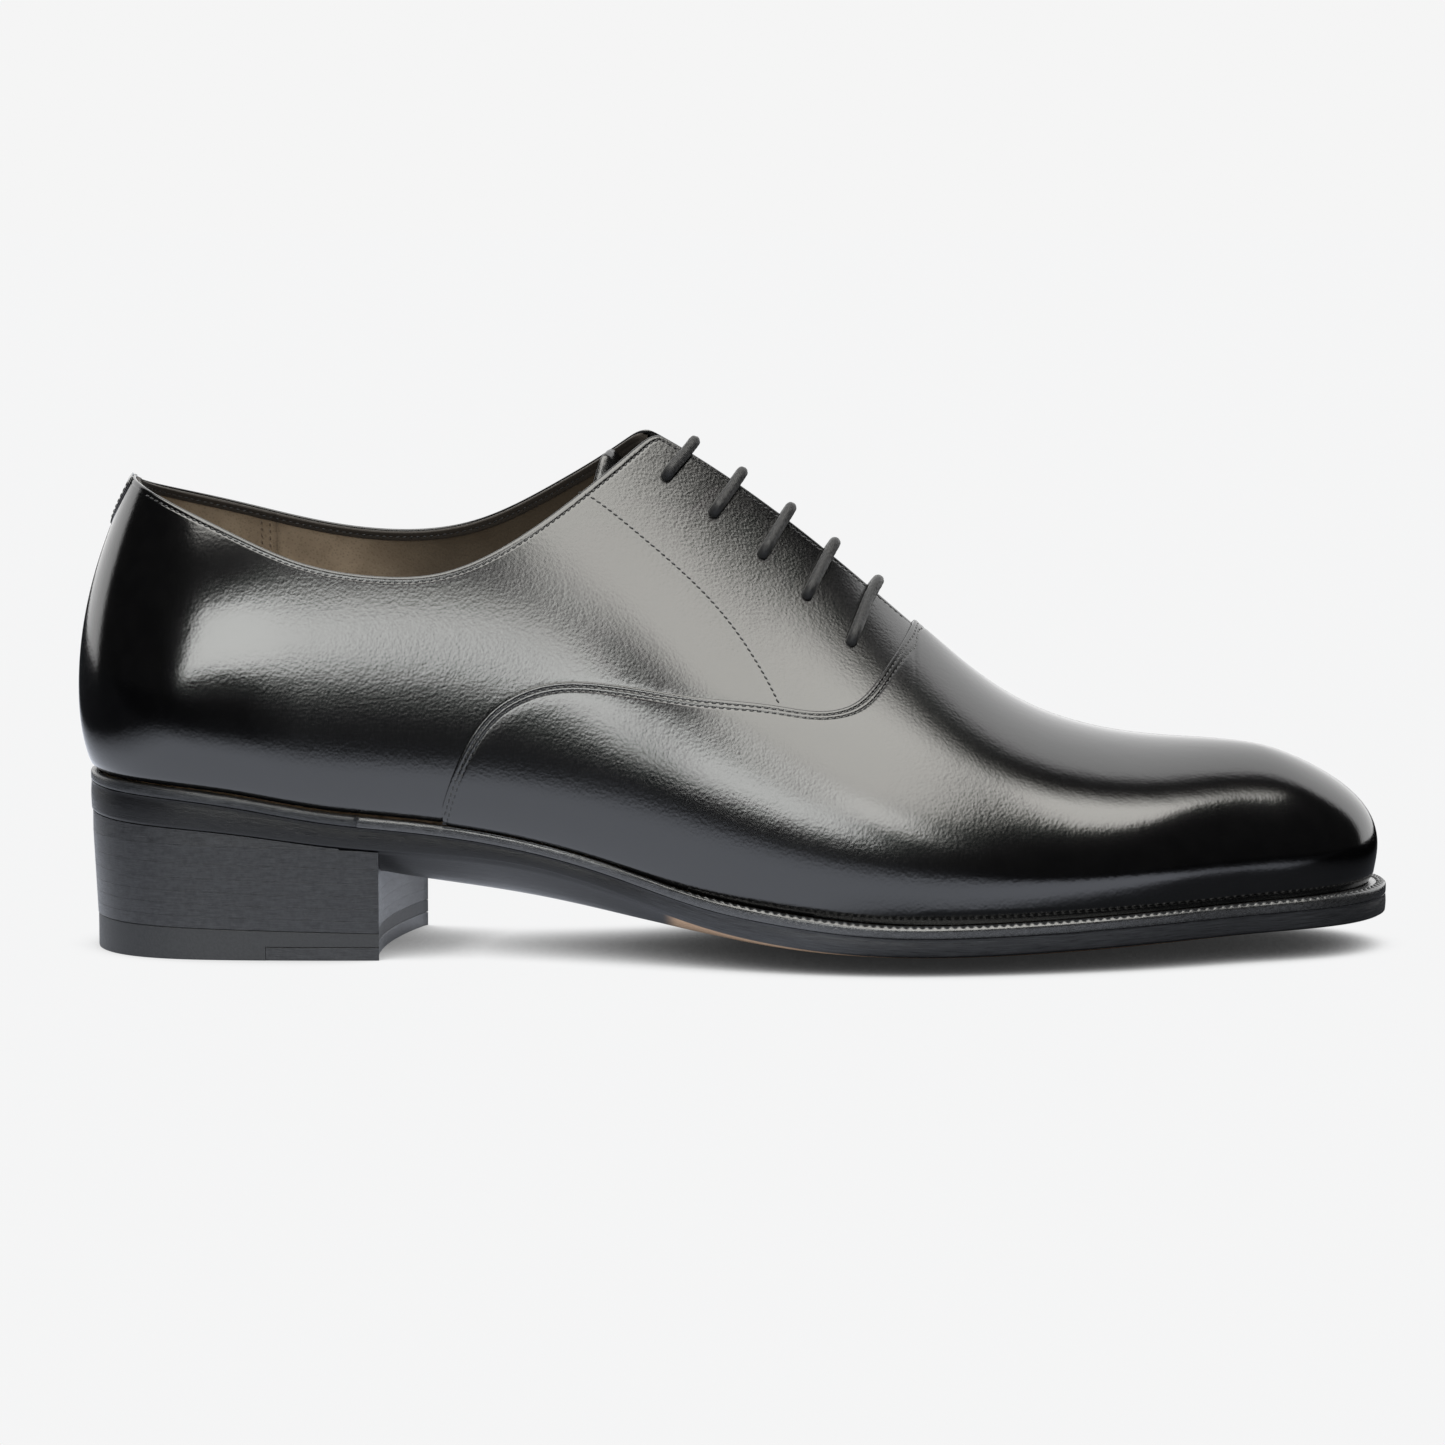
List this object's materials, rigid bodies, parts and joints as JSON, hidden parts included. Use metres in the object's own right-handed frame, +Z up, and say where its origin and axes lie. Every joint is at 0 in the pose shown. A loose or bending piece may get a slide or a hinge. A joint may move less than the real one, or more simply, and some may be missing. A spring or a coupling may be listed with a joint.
{
  "type": "oxford shoe",
  "caption": "Black plain-toe leather oxford shoe for the right foot, closed lacing over a hinged tongue, welted leather sole and stacked heel.",
  "frame": {"origin": "floor level, under the middle of the shoe's length and width", "axes": "+X towards the toe, +Y towards the inner (medial) side, +Z up"},
  "size_m": [0.3056, 0.1032, 0.1196],
  "materials": {
    "polished_black_calf": "high gloss wax polish",
    "taupe_lining_leather": "satin grained lining leather",
    "leather_board": "matt stiffener board",
    "bare_vegetable_leather": "bare vegetable-tanned leather",
    "waxed_black_edge": "black wax-burnished edge",
    "waxed_stacked_leather": "black wax-burnished stacked leather",
    "black_rubber": "matt black rubber",
    "cork": null,
    "spring_steel": "plain tempered steel",
    "aglet_steel": "black-coated steel tip",
    "brass": "plain brass",
    "waxed_black_cord": "waxed woven cotton cord"
  },
  "bodies": {
    "shoe": {"aglet_lateral": "aglet_steel", "aglet_medial": "aglet_steel", "blind_eyelet_lateral_1": "brass", "blind_eyelet_lateral_2": "brass", "blind_eyelet_lateral_3": "brass", "blind_eyelet_lateral_4": "brass", "blind_eyelet_lateral_5": "brass", "blind_eyelet_medial_1": "brass", "blind_eyelet_medial_2": "brass", "blind_eyelet_medial_3": "brass", "blind_eyelet_medial_4": "brass", "blind_eyelet_medial_5": "brass", "cork_filler": "cork", "facing_stay_lateral": "leather_board", "facing_stay_medial": "leather_board", "heel_counter": "leather_board", "heel_lift_1": "waxed_stacked_leather", "heel_lift_2": "waxed_stacked_leather", "heel_lift_3": "waxed_stacked_leather", "heel_lift_4": "waxed_stacked_leather", "heel_lift_5": "waxed_stacked_leather", "heel_lift_6": "waxed_stacked_leather", "heel_lining": "taupe_lining_leather", "heel_nail_1": "brass", "heel_nail_2": "brass", "heel_nail_3": "brass", "heel_nail_4": "brass", "heel_nail_5": "brass", "heel_rand": "waxed_black_edge", "heel_sock": "taupe_lining_leather", "heel_tab": "polished_black_calf", "heel_wedge": "waxed_stacked_leather", "insole": "bare_vegetable_leather", "lace": "waxed_black_cord", "lace_tail_lateral": "waxed_black_cord", "lace_tail_medial": "waxed_black_cord", "outsole": "waxed_black_edge", "quarter_lateral": "polished_black_calf", "quarter_lining_lateral": "taupe_lining_leather", "quarter_lining_medial": "taupe_lining_leather", "quarter_medial": "polished_black_calf", "shank": "spring_steel", "toe_puff": "leather_board", "top_piece_leather": "waxed_stacked_leather", "top_piece_rubber": "black_rubber", "vamp": "polished_black_calf", "vamp_lining": "taupe_lining_leather", "welt": "waxed_black_edge"},
    "tongue": {"tongue": "polished_black_calf", "tongue_lining": "taupe_lining_leather"}
  },
  "joints": [
    {"name": "tongue_flex", "type": "hinge", "parent": "shoe", "child": "tongue", "pos_m": [0.03093, 0.004, 0.07172], "axis": [0, -1, 0], "range_deg": [0, 12]}
  ]
}
